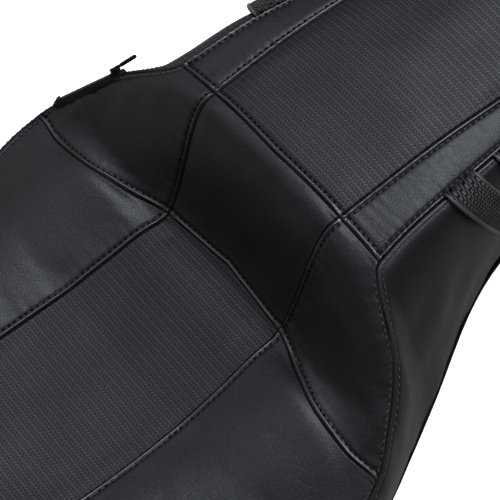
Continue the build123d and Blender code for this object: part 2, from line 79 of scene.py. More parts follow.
RIDER_TOP_Z = [(-60, 84), (45, 82), (90, 72), (130, 64), (200, 60), (270, 65), (330, 68), (375, 62), (400, 48)]
PILLION_TOP_Z = [(-370, 100), (-356, 138), (-325, 170), (-280, 190), (-220, 202), (-140, 202), (-60, 193),
                 (-27, 190), (45, 184)]
SKIRT_BULGE = [(-370, 4), (-330, 9), (-200, 12), (-100, 13), (-27, 13), (10, 8), (52, 6), (250, 5), (400, 2)]
BOLSTER_RISE = [(-27, 0), (30, 8), (60, 17), (120, 15), (200, 10), (300, 4), (380, 0)]
RISER_FOOT_X, RISER_WRAP, RISER_TOP_X = 37, 22, -27
RISER_HALF = 150              # half-width that the foot's wrap is measured by
LOWER_SEAM = [(0, 24), (66, 30), (105, 43), (143, 54), (175, 56), (202, 53), (230, 53)]
UPPER_SEAM = [(0, -25), (70, -27), (150, -27)]
PILLION_INSERT_Y = [(-370, 52), (-330, 64), (-250, 70), (-27, 70)]
RISER_STRIP_Y = [(-60, 70), (-27, 70), (30, 66), (90, 66)]
RIDER_INSERT_Y = [(30, 66), (100, 70), (180, 72), (260, 72), (330, 60), (390, 44)]
NOSE_SEAM_X, TAIL_SEAM_X = 352, -338


def track(x, points):
    """Smooth curve through (x, value) points, with no overshoot between them."""
    xs, vs = np.array(points, float).T
    rise = np.diff(vs) / np.diff(xs)
    slope = np.concatenate([rise[:1], np.zeros(len(xs) - 2), rise[-1:]])
    before, after = rise[:-1], rise[1:]
    same = before * after > 0
    slope[1:-1][same] = 2 * before[same] * after[same] / (before + after)[same]
    x = np.clip(np.asarray(x, float), xs[0], xs[-1])
    i = np.clip(np.searchsorted(xs, x, side="right") - 1, 0, len(xs) - 2)
    span = xs[i + 1] - xs[i]
    t = (x - xs[i]) / span
    return ((2 * t**3 - 3 * t**2 + 1) * vs[i] + (t**3 - 2 * t**2 + t) * slope[i] * span
            + (3 * t**2 - 2 * t**3) * vs[i + 1] + (t**3 - t**2) * slope[i + 1] * span)


def ease(t):
    """0 to 1 with no slope or bend at either end."""
    t = np.clip(t, 0, 1)
    return t**3 * (t * (6 * t - 15) + 10)


def crown_line(x, y):
    """Height of the rider area and of the pillion area, joined by the riser."""
    foot = RISER_FOOT_X + RISER_WRAP * np.minimum(np.abs(y) / RISER_HALF, 1.2) ** 2
    rider, pillion = track(x, RIDER_TOP_Z), track(x, PILLION_TOP_Z)
    return rider + (pillion - rider) * ease((foot - x) / (foot - RISER_TOP_X))


def top_z(x, y):
    """Height of the cover inside the side seams."""
    seam_y, seam_z = track(x, SIDE_SEAM_Y), track(x, SIDE_SEAM_Z)
    u = np.minimum(np.abs(y) / seam_y, 1)
    sharpness = 2 + 3 * ease((x + 40) / 90)
    bump = np.sin(np.pi * np.clip((u - 0.25) / 0.75, 0, 1)) ** 2
    fall = (crown_line(x, seam_y) - seam_z) * u**sharpness
    return crown_line(x, y) - fall + track(x, BOLSTER_RISE) * bump


def skirt_y(x, z):
    """Half-width of the skirt at a height."""
    seam_z, rim_z = track(x, SIDE_SEAM_Z), track(x, RIM_Z)
    v = np.clip((seam_z - z) / (seam_z - rim_z), 0, 1)
    seam_y, rim_y = track(x, SIDE_SEAM_Y), track(x, RIM_Y)
    return seam_y + (rim_y - seam_y) * v + track(x, SKIRT_BULGE) * BULGE_SCALE * np.sqrt(v) * (1 - v)


# ---------------- materials
MEAN_SHINE = 0.42                       # stands in where a model can't hold a varying shine
TINT = (0.82, 0.885, 1.0, 1.0)          # cool colour of the studio light, painted into the reflections of every material
BEAD_SMOOTHER, BEAD_SHINIER = 0.17, 0.65
CREASE_CELLS, GRAIN_CELLS = 150, 430    # cells per metre in the vinyl
CELL_BEND = 0.006                       # how far the cells' outlines wander
WEAVE_ROW, WEAVE_STROKE = 2.72, 2.85    # mm
WEAVE_WANDER = 0.0016                   # metres that the rows wander
YARN_ROW, YARN_PITCH, YARN_LEAN = 2.1, 2.0, 0.6     # strap webbing, in mm, and lean as a share of the pitch


class Nodes:
    """Small helper that wires a shader's nodes."""

    def __init__(self, name):
        self.material = bpy.data.materials.new(name)
        self.material.use_nodes = True
        self.tree = self.material.node_tree
        self.shader = self.tree.nodes["Principled BSDF"]
        coords = self.tree.nodes.new("ShaderNodeTexCoord")
        self.place = coords.outputs["Object"]

    def link(self, value, socket):
        if isinstance(value, (int, float, tuple)):
            socket.default_value = value
        else:
            self.tree.links.new(value, socket)

    def math(self, operation, a, b=0.0, clamp=False):
        node = self.tree.nodes.new("ShaderNodeMath")
        node.operation, node.use_clamp = operation, clamp
        self.link(a, node.inputs[0])
        self.link(b, node.inputs[1])
        return node.outputs[0]

    def split(self, vector):
        node = self.tree.nodes.new("ShaderNodeSeparateXYZ")
        self.link(vector, node.inputs[0])
        return node.outputs

    def noise(self, scale, detail=3.0, rough=0.55):
        node = self.tree.nodes.new("ShaderNodeTexNoise")
        self.link(self.place, node.inputs["Vector"])
        node.inputs["Scale"].default_value = scale
        node.inputs["Detail"].default_value = detail
        node.inputs["Roughness"].default_value = rough
        return node.outputs["Fac"]

    def noise_vector(self, scale):
        node = self.tree.nodes.new("ShaderNodeTexNoise")
        self.link(self.place, node.inputs["Vector"])
        node.inputs["Scale"].default_value = scale
        return node.outputs["Color"]

    def cells(self, scale, feature="DISTANCE_TO_EDGE", vector=None):
        node = self.tree.nodes.new("ShaderNodeTexVoronoi")
        node.feature = feature
        self.link(vector or self.place, node.inputs["Vector"])
        node.inputs["Scale"].default_value = scale
        return node.outputs["Distance"]

    def band(self, value, low, high, to_low=0.0, to_high=1.0):
        node = self.tree.nodes.new("ShaderNodeMapRange")
        node.interpolation_type = "SMOOTHSTEP"
        self.link(value, node.inputs["Value"])
        for socket, number in zip(("From Min", "From Max", "To Min", "To Max"), (low, high, to_low, to_high)):
            node.inputs[socket].default_value = number
        return node.outputs["Result"]

    def attribute(self, name):
        node = self.tree.nodes.new("ShaderNodeAttribute")
        node.attribute_name = name
        return node.outputs["Fac"]

    def colour(self, factor, low, high):
        node = self.tree.nodes.new("ShaderNodeMix")
        node.data_type = "RGBA"
        self.link(factor, node.inputs[0])
        node.inputs[6].default_value = (*low, 1)
        node.inputs[7].default_value = (*high, 1)
        self.tree.links.new(node.outputs[2], self.shader.inputs["Base Color"])

    def bump(self, layers):
        """Bump layers of (height, distance in mm, strength), the coarsest first."""
        normal = None
        for height, distance, strength in layers:
            node = self.tree.nodes.new("ShaderNodeBump")
            node.inputs["Strength"].default_value = strength
            node.inputs["Distance"].default_value = distance * MM
            self.link(height, node.inputs["Height"])
            if normal:
                self.link(normal, node.inputs["Normal"])
            normal = node.outputs["Normal"]
        self.tree.links.new(normal, self.shader.inputs["Normal"])

    def polished(self, rough, shine, shade_and_gloss):
        """Roughness and shine with the tight beads beside the seams glossier."""
        gloss = self.math("MULTIPLY", shade_and_gloss, -1.0, clamp=True)
        return (self.math("SUBTRACT", rough, self.math("MULTIPLY", gloss, BEAD_SMOOTHER)),
                self.math("ADD", shine, self.math("MULTIPLY", gloss, BEAD_SHINIER)))

    def finish(self, rough, specular=0.5, **uniform):
        """Sets roughness, shine and the values that are the same all over, and gives the material."""
        self.link(rough, self.shader.inputs["Roughness"])
        shine = self.shader.inputs["Specular IOR Level"]
        shine.default_value = MEAN_SHINE
        self.link(specular, shine)
        self.shader.inputs["Specular Tint"].default_value = TINT
        for name, value in uniform.items():
            self.shader.inputs[name.replace("_", " ")].default_value = value
        return self.material


def vinyl(name, dark, light, rough=0.40, specular=0.5):
    """Black upholstery vinyl: leather grain, fine creases in patches, painted shade in the seam creases and
    stitch holes.
    """
    n = Nodes(name)
    shade_and_gloss = n.attribute("shade_and_gloss")
    unshaded = n.math("SUBTRACT", 1.0, shade_and_gloss, clamp=True)
    # Colour: random tone from noise, with painted shade in the seam creases and stitch holes; the shine below
    # is lowered there too.
    n.colour(n.math("MULTIPLY", n.noise(22, 4, 0.6), unshaded), dark, light)
    bent = n.tree.nodes.new("ShaderNodeVectorMath")
    bent.operation = "MULTIPLY_ADD"
    n.link(n.noise_vector(90), bent.inputs[0])
    bent.inputs[1].default_value = (CELL_BEND,) * 3
    n.link(n.place, bent.inputs[2])
    crease = n.band(n.cells(CREASE_CELLS, vector=bent.outputs[0]), 0.0, 0.16)
    patches = n.band(n.noise(38, 3), 0.42, 0.68)
    creases = n.math("MULTIPLY", n.math("SUBTRACT", crease, 1.0), patches)
    grain = n.band(n.cells(GRAIN_CELLS, vector=bent.outputs[0]), 0.0, 0.30)
    n.bump([(n.noise(120, 4), 0.5, 0.25), (creases, 0.13, 0.7), (grain, 0.10, 0.5),
            (n.noise(2600, 2), 0.05, 0.25)])
    uneven = n.math("ADD", rough - 0.05, n.math("MULTIPLY", n.noise(60, 4), 0.12))
    shine = n.math("MULTIPLY", n.math("MULTIPLY", unshaded, n.band(grain, 0.0, 0.7, 0.78, 1.02)), specular)
    return n.finish(*n.polished(uneven, shine, shade_and_gloss))


def weave_height(n, row_pitch, stroke_pitch):
    """Herringbone relief and row tone: rows across the seat, strokes leaning left and right in turn."""
    x, y, _ = n.split(n.place)
    wobble = n.math("MULTIPLY", n.math("SUBTRACT", n.noise(30, 2), 0.5), WEAVE_WANDER)
    rows = n.math("DIVIDE", n.math("ADD", x, wobble), row_pitch * MM)
    inside = n.math("FRACT", rows)
    turn = n.math("FLOORED_MODULO", n.math("FLOOR", rows), 2.0)
    lean = n.math("SUBTRACT", n.math("MULTIPLY", turn, 2.0), 1.0)
    shift = n.math("MULTIPLY", n.math("MULTIPLY", n.math("SUBTRACT", inside, 0.5), lean),
                   row_pitch / stroke_pitch)
    stroke = n.math("ADD", n.math("DIVIDE", y, stroke_pitch * MM), shift)
    ridge = n.math("ABSOLUTE", n.math("SINE", n.math("MULTIPLY", stroke, math.pi)))
    row = n.math("SINE", n.math("MULTIPLY", inside, math.pi))
    height = n.math("MULTIPLY", n.band(ridge, 0.1, 1.0), n.band(row, 0.0, 0.9))
    return height, n.band(lean, -1.0, 1.0, 0.86, 1.16)


def woven_vinyl():
    """Black vinyl pressed with a herringbone weave."""
    n = Nodes("woven_vinyl")
    height, row_tone = weave_height(n, WEAVE_ROW, WEAVE_STROKE)
    shade_and_gloss = n.attribute("shade_and_gloss")
    unshaded = n.math("SUBTRACT", 1.0, shade_and_gloss, clamp=True)
    # Colour: painted shade in the weave's grooves, from the relief's height, and in the seam creases and stitch
    # holes, with random tone from noise; the grooves get less shine too.
    tone = n.math("MULTIPLY", height, n.band(n.noise(16, 4), 0.2, 0.8, 0.55, 1.0))
    n.colour(n.math("MULTIPLY", tone, unshaded), (0.0025, 0.0027, 0.0032), (0.012, 0.0125, 0.014))
    n.bump([(n.noise(90, 3), 0.4, 0.15), (height, 0.28, 0.42), (n.noise(2200, 2), 0.05, 0.3)])
    uneven = n.math("ADD", 0.42, n.math("MULTIPLY", n.noise(60, 3), 0.12))
    relief = n.math("MULTIPLY", n.band(height, 0.0, 0.8, 0.30, 0.52), unshaded)
    return n.finish(*n.polished(uneven, n.math("MULTIPLY", relief, row_tone), shade_and_gloss))


def webbing():
    """Strap webbing: diagonal two-over-two weave of light yarns, with painted shade in the gaps between them.
    """
    n = Nodes("strap_webbing")
    along, across = n.attribute("along"), n.attribute("across")
    rows = n.math("DIVIDE", across, YARN_ROW)
    zigzag = n.math("ABSOLUTE", n.math("SUBTRACT", n.math("FLOORED_MODULO", rows, 2.0), 1.0))
    yarns = n.math("ADD", n.math("DIVIDE", along, YARN_PITCH), n.math("MULTIPLY", zigzag, YARN_LEAN))
    yarn = n.band(n.math("ABSOLUTE", n.math("SINE", n.math("MULTIPLY", yarns, math.pi))), 0.15, 0.85)
    row = n.band(n.math("ABSOLUTE", n.math("SINE", n.math("MULTIPLY", rows, math.pi))), 0.0, 0.5)
    height = n.math("MULTIPLY", yarn, row)
    # Colour: light on the yarns' tops and painted shade down in the gaps, with random tone from noise.
    n.colour(n.math("MULTIPLY", height, n.noise(90, 3)), (0.002, 0.002, 0.0023), (0.068, 0.070, 0.076))
    n.bump([(height, 0.4, 0.6), (n.noise(3000, 2), 0.08, 0.4)])
    return n.finish(0.55, n.band(height, 0.0, 1.0, 0.05, 0.5))


def plain(name, dark, light, rough, specular=0.5, grain=(260, 0.3, 0.25), fine=(1500, 0.08, 0.3), metallic=0.0):
    """Moulded, rubber or metal surface with blotches; grain and fine are (scale, bump in mm, strength)."""
    n = Nodes(name)
    n.colour(n.band(n.noise(25.0, 5, 0.6), 0.25, 0.75), dark, light)
    n.bump([(n.noise(grain[0], 4), grain[1], grain[2]), (n.cells(fine[0], "F1"), fine[1], fine[2])])
    uneven = n.math("ADD", rough - 0.06, n.math("MULTIPLY", n.noise(67.5, 4), 0.14))
    return n.finish(uneven, specular, Metallic=metallic)


MATERIALS = {
    "smooth_vinyl": vinyl("smooth_vinyl", (0.0042, 0.0045, 0.0052), (0.0115, 0.012, 0.0136)),
    "woven_vinyl": woven_vinyl(),
    "strap_vinyl": webbing(),
    "dark_thread": plain("dark_thread", (0.0012, 0.0012, 0.0013), (0.004, 0.004, 0.0042), 0.75, 0.1,
                         grain=(3200, 0.1, 0.6)),
    # The twin seams' dark grey thread, made light in colour as painted sheen.
    "light_thread": plain("light_thread", (0.025, 0.026, 0.028), (0.085, 0.088, 0.094), 0.45,
                          grain=(3200, 0.1, 0.6)),
    "piping": plain("strap_piping", (0.03, 0.031, 0.033), (0.10, 0.103, 0.11), 0.40, grain=(900, 0.25, 0.5)),
    "foam": plain("foam", (0.06, 0.055, 0.04), (0.16, 0.145, 0.10), 0.9, 0.2, (500, 0.6, 0.6), (900, 0.6, 0.8)),
    "pan_plastic": plain("pan_plastic", (0.008, 0.008, 0.009), (0.02, 0.02, 0.021), 0.5,
                         grain=(900, 0.15, 0.3)),
    "trim_rubber": plain("trim_rubber", (0.0015, 0.0015, 0.0015), (0.005, 0.005, 0.005), 0.6, 0.12),
    "bumper_rubber": plain("bumper_rubber", (0.006, 0.006, 0.006), (0.02, 0.02, 0.02), 0.7, 0.35),
    "black_steel": plain("black_steel", (0.006, 0.006, 0.007), (0.02, 0.02, 0.021), 0.34, 0.6,
                         (1200, 0.08, 0.3)),
    "zinc_steel": plain("zinc_steel", (0.30, 0.30, 0.29), (0.62, 0.62, 0.60), 0.3, 0.5, (700, 0.05, 0.2),
                        metallic=1.0),
    "rivet_aluminium": plain("rivet_aluminium", (0.45, 0.45, 0.46), (0.75, 0.75, 0.76), 0.36, 0.5,
                             (900, 0.05, 0.2), metallic=1.0),
    "zip_fabric": plain("zip_fabric", (0.008, 0.008, 0.009), (0.022, 0.022, 0.025), 0.6, 0.4, (2500, 0.2, 0.6)),
    "zip_plastic": plain("zip_plastic", (0.008, 0.008, 0.008), (0.02, 0.02, 0.02), 0.35),
    "slider_metal": plain("slider_metal", (0.02, 0.02, 0.021), (0.06, 0.06, 0.062), 0.35, 0.5, metallic=1.0),
    "pull_rubber": plain("pull_rubber", (0.002, 0.002, 0.002), (0.007, 0.007, 0.007), 0.6, 0.2),
}

for part in frame["record"]["subparts"]:
    mesh = frame["nodes"][part["node"]].data
    mesh.materials.clear()
    mesh.materials.append(MATERIALS[part["material_slot"]])


# ---------------- meshes
def make_piece(name, points, faces, material, slot, body="seat", attributes=None):
    """Object from points in millimetres and faces, riding on a body."""
    mesh = bpy.data.meshes.new(name)
    mesh.from_pydata((np.asarray(points) * MM).tolist(), [], faces)
    mesh.update()
    for key, values in (attributes or {}).items():
        layer = mesh.attributes.new(key, "FLOAT", "POINT")
        layer.data.foreach_set("value", np.asarray(values, np.float32).ravel())
    mesh.materials.append(MATERIALS[material])
    mesh.shade_smooth()
    piece = bpy.data.objects.new(name, mesh)
    bpy.context.scene.collection.objects.link(piece)
    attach(piece, body)
    return piece


def grid_faces(rows, columns, offset=0, flip=False, wrap=False):
    """Quads between the points of a grid, joined round when it wraps."""
    index = np.arange(rows * columns).reshape(rows, columns) + offset
    if wrap:
        index = np.concatenate([index, index[:, :1]], 1)
    quads = np.stack([index[:-1, :-1], index[1:, :-1], index[1:, 1:], index[:-1, 1:]], -1).reshape(-1, 4)
    return (quads[:, ::-1] if flip else quads).tolist()


def shell(outer, inner, flip):
    """Points and faces of a closed sheet between two matching grids."""
    rows, columns = outer.shape[:2]
    count = rows * columns
    faces = grid_faces(rows, columns, 0, flip) + grid_faces(rows, columns, count, not flip)
    index = np.arange(count).reshape(rows, columns)
    rim = np.concatenate([index[0, :-1], index[:-1, -1], index[-1, :0:-1], index[:0:-1, 0]])
    around = np.roll(rim, -1)
    wall = np.stack([around, rim, rim + count, around + count], 1)
    faces += (wall[:, ::-1] if flip else wall).tolist()
    return np.concatenate([outer.reshape(-1, 3), inner.reshape(-1, 3)]), faces


def normals(grid):
    across, along = np.gradient(grid, axis=1), np.gradient(grid, axis=0)
    n = np.cross(along, across)
    return n / np.maximum(np.linalg.norm(n, axis=-1, keepdims=True), 1e-9)


def arc(points):
    """Length along a line at each of its points."""
    return np.concatenate([[0], np.cumsum(np.linalg.norm(np.diff(points, axis=0), axis=1))])


# Distances from a seam, in mm, at which every panel has a row or column of points.
NEAR = [0, 0.25, 0.6, 1.0, 1.5, 2.0, 2.6, 3.2, 3.8, 4.5, 5.3, 6.5, 8.2, 10.2]


def spread(length, step):
    """Positions from 0 to 1 along a length in mm, closer together at both ends."""
    middle = np.linspace(NEAR[-1], length - NEAR[-1], max(int((length - 2 * NEAR[-1]) / step), 2) + 1)[1:-1]
    return np.concatenate([NEAR, middle, length - np.array(NEAR[::-1])]) / length


class Ripple:
    """Soft random wave along a line, the same on each run."""

    def __init__(self, shortest, longest, count=9):
        self.k = 2 * np.pi / rng.uniform(shortest, longest, count)
        self.phase = rng.uniform(0, 2 * np.pi, count)

    def __call__(self, s):
        return np.sin(np.multiply.outer(s, self.k) + self.phase).sum(-1) / math.sqrt(len(self.k))


class Swell:
    """Soft random unevenness over the plan."""

    def __init__(self, shortest, longest, count=14):
        size = 2 * np.pi / rng.uniform(shortest, longest, count)
        turn = rng.uniform(0, np.pi, count)
        self.kx, self.ky = size * np.cos(turn), size * np.sin(turn)
        self.phase = rng.uniform(0, 2 * np.pi, count)

    def __call__(self, x, y):
        waves = np.sin(np.multiply.outer(x, self.kx) + np.multiply.outer(y, self.ky) + self.phase)
        return waves.sum(-1) / math.sqrt(len(self.kx))


def dip(d, at, width):
    """Soft hump of height 1 at a distance."""
    return np.exp(-(((d - at) / width) ** 2))


STITCH_PITCH = 5.2
STITCH_AT = {"stitched": 4.5, "twin": 3.5, "welt": 4.5}         # distance of the stitches from the seam
BEAD_AT = 2.2                 # distance of the raised bead from the seam
BEAD_GLOSS = {"stitched": 1.0, "welt": 1.0, "twin": 0.5}
GROOVE = 2.6                  # depth of every seam line below the panels
PULL = 0.9                    # part of it by which the seam pulls the wider surface down
EDGE_ROLL = 1.25              # radius of the rolled edge at the seam
SEAM_REACH = 34               # how far from a seam it is looked for
CORNER, CORNER_SIDE = 3.2, 9  # near one seam and beside the next, the deeper of the two grooves counts
CALM = 9                      # width beside the seams that stays free of unevenness
LINING = 1.2                  # thickness of the cover under the grooves
SEAM_ROW = 9                  # the grid's row that is beside the stitches
side_swell = Swell(38, 90)


def seam_profile(style, d, s):
    """Height of the cover beside a seam, from the distance d to it and the place s along it."""
    wave = 0.5 + 0.5 * np.cos(2 * np.pi * s / STITCH_PITCH)
    inside = np.clip(1 - d / EDGE_ROLL, 0, 1)
    base = -(GROOVE - PULL) * (1 - np.sqrt(1 - inside**2)) - PULL * dip(d, 0, 6.5)
    if style == "stitched":
        bead = 1.2 * dip(d, BEAD_AT, 1.1) + 0.25 * dip(d, 7.5, 2.2)
        return base + bead - (0.35 + 0.55 * wave) * dip(d, STITCH_AT[style], 0.8)
    if style == "twin":
        return base + 0.25 * dip(d, 1.7, 0.9) - (0.25 + 0.30 * wave) * dip(d, STITCH_AT[style], 0.8)
    if style == "welt":
        bead = 1.7 * (0.8 + 0.35 * wave) * dip(d, 2.1, 1.3)
        return base + bead - (0.3 + 1.2 * wave) * dip(d, STITCH_AT[style], 0.9)
    return base


def seam_shade_and_gloss(style, d, s):
    """1 in the crease of a seam and in its stitch holes, where painted shade darkens the vinyl; below 0 on its
    tight bead, which is made glossier.
    """
    shade_and_gloss = dip(d, 0, 0.45)
    if style in ("stitched", "welt"):
        wave = 0.5 + 0.5 * np.cos(2 * np.pi * s / STITCH_PITCH)
        shade_and_gloss = np.maximum(shade_and_gloss, wave**0.5 * dip(d, STITCH_AT[style], 0.55))
    return np.where(shade_and_gloss > 0.02, shade_and_gloss, -BEAD_GLOSS.get(style, 0) * dip(d, BEAD_AT, 0.8))


def nearest_on(edge, grid, reach):
    """Distance to an edge's polyline and place along it, for grid points closer than reach."""
    lengths = arc(edge)
    fine_s = np.linspace(0, lengths[-1], max(int(lengths[-1] / 0.4), 2))
    fine = np.stack([np.interp(fine_s, lengths, edge[:, k]) for k in range(3)], 1)
    tree = KDTree(len(fine))
    for i, p in enumerate(fine):
        tree.insert(p, i)
    tree.balance()
    flat = grid.reshape(-1, 3)
    d, s = np.full(len(flat), 99.0), np.zeros(len(flat))
    for i in np.nonzero(reach.ravel())[0]:
        _, j, distance = tree.find(flat[i])
        d[i], s[i] = distance, fine_s[j]
    return d.reshape(grid.shape[:2]), s.reshape(grid.shape[:2])


def grid_lengths(base, axis):
    """Length along the grid's lines from the first row or column."""
    steps = np.linalg.norm(np.diff(base, axis=axis), axis=-1)
    start = np.zeros_like(np.take(steps, [0], axis=axis))
    return np.concatenate([start, np.cumsum(steps, axis=axis)], axis=axis)


def edge_lines(base):
    """First row, last row, first column and last column."""
    return [base[0], base[-1], base[:, 0], base[:, -1]]


def dress(plan, puff):
    """Outer grid of a panel with its grooves, beads, stitch dimples and puckers, its base's normals, and per
    point the painted shade in creases and stitch holes and the beads' gloss.
    """
    base = plan["base"]
    n = normals(base)
    down, over = grid_lengths(base, 0), grid_lengths(base, 1)
    rough_distance = [down, down[-1:] - down, over, over[:, -1:] - over]
    lift = np.zeros(base.shape[:2])
    closest = np.full(base.shape[:2], 99.0)
    shade_and_gloss = np.zeros(base.shape[:2])
    for k, (edge, style) in enumerate(zip(edge_lines(base), plan["styles"])):
        if style is None:
            continue
        d, s = nearest_on(edge, base, rough_distance[k] < SEAM_REACH)
        if style == "hem":
            lift -= 1.0 * dip(d, 0, 3.5)
            continue
        floor = seam_profile(style, d, s)
        lift = np.where((closest < CORNER) & (d < CORNER_SIDE), np.minimum(lift, floor), lift + floor)
        if style != "plain":
            lift += plan["pucker"] * Ripple(6, 15)(s) * np.exp(-d / CALM) * (1 - dip(d, 0, 3.0))
        closest = np.minimum(closest, d)
        here = seam_shade_and_gloss(style, d, s)
        shade_and_gloss = np.where(np.abs(here) > np.abs(shade_and_gloss), here, shade_and_gloss)
        sink = plan["sink"][k]
        if sink is not None:
            weight = dip(d, 0, CORNER)[..., None]
            n = n * (1 - weight) + sink * weight
            n /= np.linalg.norm(n, axis=-1, keepdims=True)
    calm = 1 - dip(closest, 0, CALM)
    lift = np.maximum(lift, -GROOVE)
    unevenness = side_swell(base[..., 0] + base[..., 2], base[..., 1] - base[..., 2] * 0.5)
    lift += (plan["swell"] * unevenness + puff) * calm
    return base + n * lift[..., None], n, shade_and_gloss


def across_seat(points, sign):
    return lambda x: sign * track(x, points)


def cross_seam(points):
    return lambda y: track(np.abs(y), points)


def constant(value):
    return lambda y: np.full(np.shape(y), float(value))


def four_sided(rear, front, low, high, step):
    """Base grid of a top panel between two transverse and two lengthwise seams."""
    def solve(s, t):
        s, t = np.meshgrid(s, t, indexing="ij")
        x, y = np.zeros_like(s), np.zeros_like(s)
        for _ in range(60):
            y = 0.5 * y + 0.5 * (low(x) * (1 - t) + high(x) * t)
            x = 0.5 * x + 0.5 * (rear(y) * (1 - s) + front(y) * s)
        return np.stack([x, y, top_z(x, y)], -1)
    rough = solve(np.linspace(0, 1, 25), np.linspace(0, 1, 25))
    length = np.linalg.norm(np.diff(rough, axis=0), axis=-1).sum(0).mean()
    width = np.linalg.norm(np.diff(rough, axis=1), axis=-1).sum(1).mean()
    return solve(spread(length, step), spread(width, step))


def sink_direction(plan_out):
    """Direction that both sheets sink in at the side seam, from the seam's outward direction in plan."""
    direction = plan_out * 0.74 + np.array([0, 0, 0.67])
    return direction / np.linalg.norm(direction, axis=-1, keepdims=True)


def side_sink(base, sign):
    """Sink directions of a top panel beside the side seam."""
    x = base[..., 0]
    slope = (track(x + 1, SIDE_SEAM_Y) - track(x - 1, SIDE_SEAM_Y)) / 2
    out = np.stack([-slope, np.full_like(x, sign), np.zeros_like(x)], -1)
    return sink_direction(out / np.linalg.norm(out, axis=-1, keepdims=True))


# ---------------- cover panels on top
STEP = 1.6                    # grid spacing of the cover's panels
plans = []


def plan_panel(name, base, styles, material, replaces, pucker, swell, fill, sink=(None,) * 4):
    """Notes a panel; styles and sink go with the first row, last row, first column and last column."""
    plans.append({"name": name, "base": base, "styles": styles, "material": material, "replaces": replaces,
                  "pucker": pucker, "swell": swell, "fill": fill, "sink": sink})


upper, lower = cross_seam(UPPER_SEAM), cross_seam(LOWER_SEAM)
nose_seam, tail_seam = constant(NOSE_SEAM_X), constant(TAIL_SEAM_X)
for label, points, rear, front, styles, material in [
    ("rider_insert", RIDER_INSERT_Y, lower, nose_seam, ("plain", "plain", "plain", "plain"), "woven_vinyl"),
    ("riser_centre", RISER_STRIP_Y, upper, lower, ("plain", "stitched", "plain", "plain"), "smooth_vinyl"),
    ("pillion_insert", PILLION_INSERT_Y, tail_seam, upper, ("plain", "stitched", "plain", "plain"),
     "woven_vinyl"),
]:
    base = four_sided(rear, front, across_seat(points, -1), across_seat(points, 1), STEP)
    plan_panel(label + "_cover", base, styles, material, label, 0.12, 0.35, 0.8)

for side, sign in (("left", 1), ("right", -1)):
    for label, points, rear, front, styles, pucker in [
        ("rider_panel", RIDER_INSERT_Y, lower, nose_seam, ("plain", "plain", "stitched", "twin"), 0.2),
        ("riser", RISER_STRIP_Y, upper, lower, ("plain", "stitched", "stitched", "twin"), 0.3),
        ("pillion_panel", PILLION_INSERT_Y, tail_seam, upper, ("plain", "stitched", "stitched", "welt"), 0.45),
    ]:
        seams = [across_seat(points, sign), across_seat(SIDE_SEAM_Y, sign)][::sign]
        base = four_sided(rear, front, *seams, STEP)
        sink = (None, None) + (None, side_sink(base, sign))[::sign]
        plan_panel(f"{label}_cover_{side}", base, styles[:2] + styles[2:][::sign], "smooth_vinyl",
                   f"{label}_{side}", pucker, 0.35, 0.85, sink)

# ---------------- outline of the seat, with rounded ends
END_COUNT, ROUNDING = 26, 60
NOSE_ROUND_X, TAIL_ROUND_X, ROUND_SPAN = 372, -336, 20


def half_outline():
    """Left-hand half from the nose's middle to the tail's: x, and 0 to 1 from the middle to the corner."""
    sides = np.linspace(NOSE_X, TAIL_X, 1400)
    lengths = arc(np.stack([sides, track(sides, SIDE_SEAM_Y), track(sides, SIDE_SEAM_Z)], 1))
    x = np.interp(np.linspace(0, lengths[-1], int(lengths[-1] / STEP)), lengths, sides)
    inward = np.linspace(0, 1, END_COUNT)[:-1]
    return (np.concatenate([np.full(END_COUNT - 1, NOSE_X), x, np.full(END_COUNT - 1, TAIL_X)]),
            np.concatenate([inward, np.ones(len(x)), inward[::-1]]))


def round_ends(line, weight):
    """Line with its corners averaged away where weight is 1."""
    for _ in range(ROUNDING):
        average = line.copy()
        average[1:-1] = (line[:-2] + line[1:-1] * 2 + line[2:]) / 4
        line = line * (1 - weight) + average * weight
    return line


outline_x, outline_share = half_outline()
end_weight = np.maximum(ease((outline_x - NOSE_ROUND_X) / ROUND_SPAN),
                        ease((TAIL_ROUND_X - outline_x) / ROUND_SPAN))[:, None]
seam_y, rim_y = track(outline_x, SIDE_SEAM_Y) * outline_share, track(outline_x, RIM_Y) * outline_share
seam_line = round_ends(np.stack([outline_x, seam_y, top_z(outline_x, seam_y)], 1), end_weight)
rim_line = round_ends(np.stack([outline_x, rim_y, track(outline_x, RIM_Z)], 1), end_weight)
tangent = np.gradient(seam_line, axis=0)
seam_out = np.stack([tangent[:, 1], -tangent[:, 0], np.zeros(len(tangent))], 1)
seam_out /= np.linalg.norm(seam_out, axis=1, keepdims=True)
MIRROR = np.array([1, -1, 1])


